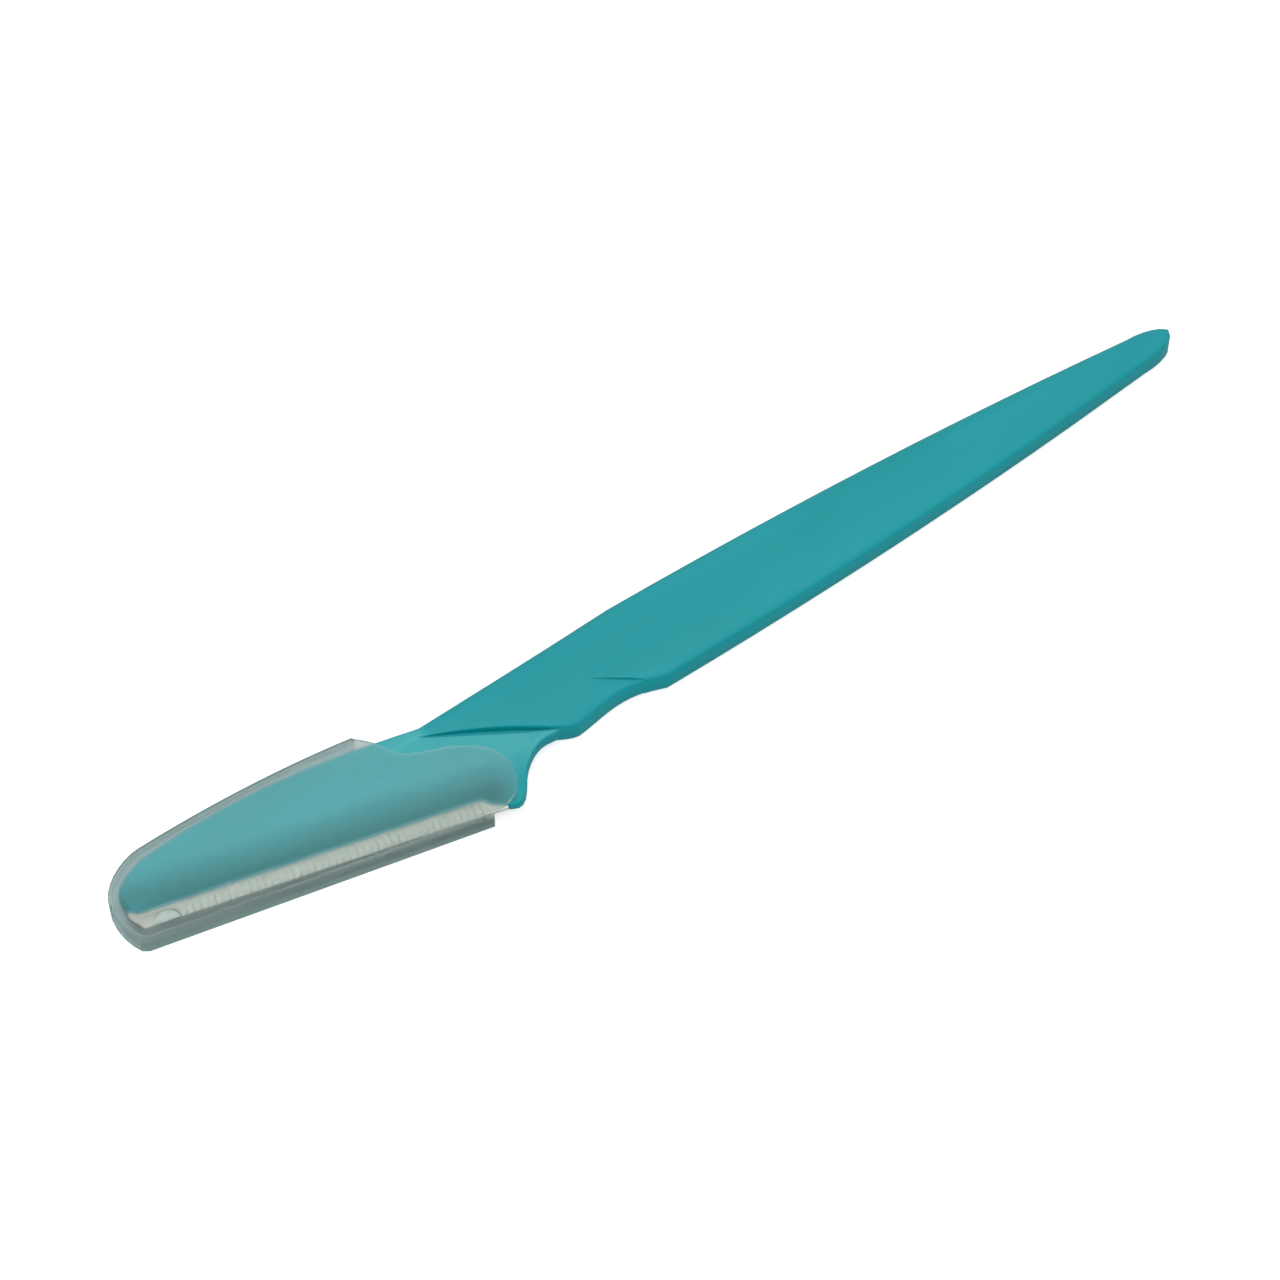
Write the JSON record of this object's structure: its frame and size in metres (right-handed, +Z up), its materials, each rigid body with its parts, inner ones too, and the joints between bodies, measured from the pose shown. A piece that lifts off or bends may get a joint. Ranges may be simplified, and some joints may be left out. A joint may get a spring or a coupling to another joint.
{
  "type": "eyebrow razor",
  "caption": "Slim eyebrow razor: a flat tapering handle with finger scallops, a guarded steel blade along a thin head, and a translucent sheath cap that pushes over the head.",
  "frame": {"origin": "on the flat underside of the grip, on the grip's centre line, 12.2 mm from the shoulder behind the finger scallops towards the tail", "axes": "+X along the grip to its tail, +Y to the spine side away from the blade edge, +Z up through the thickness"},
  "size_m": [0.1547, 0.0203, 0.0032],
  "materials": {
    "handle_plastic": "satin injection-moulded plastic",
    "blade_steel": "ground stainless steel",
    "guard_steel": "pressed stainless sheet",
    "cap_plastic": "frosted translucent plastic"
  },
  "bodies": {
    "razor": {"handle": "handle_plastic", "blade": "blade_steel", "blade_guard": "guard_steel"},
    "cap": {"cap": "cap_plastic"}
  },
  "joints": [
    {"name": "cap_slide", "type": "slide", "parent": "razor", "child": "cap", "axis": [-0.9763, 0.2164, 0], "range_m": [0, 0.055]}
  ]
}
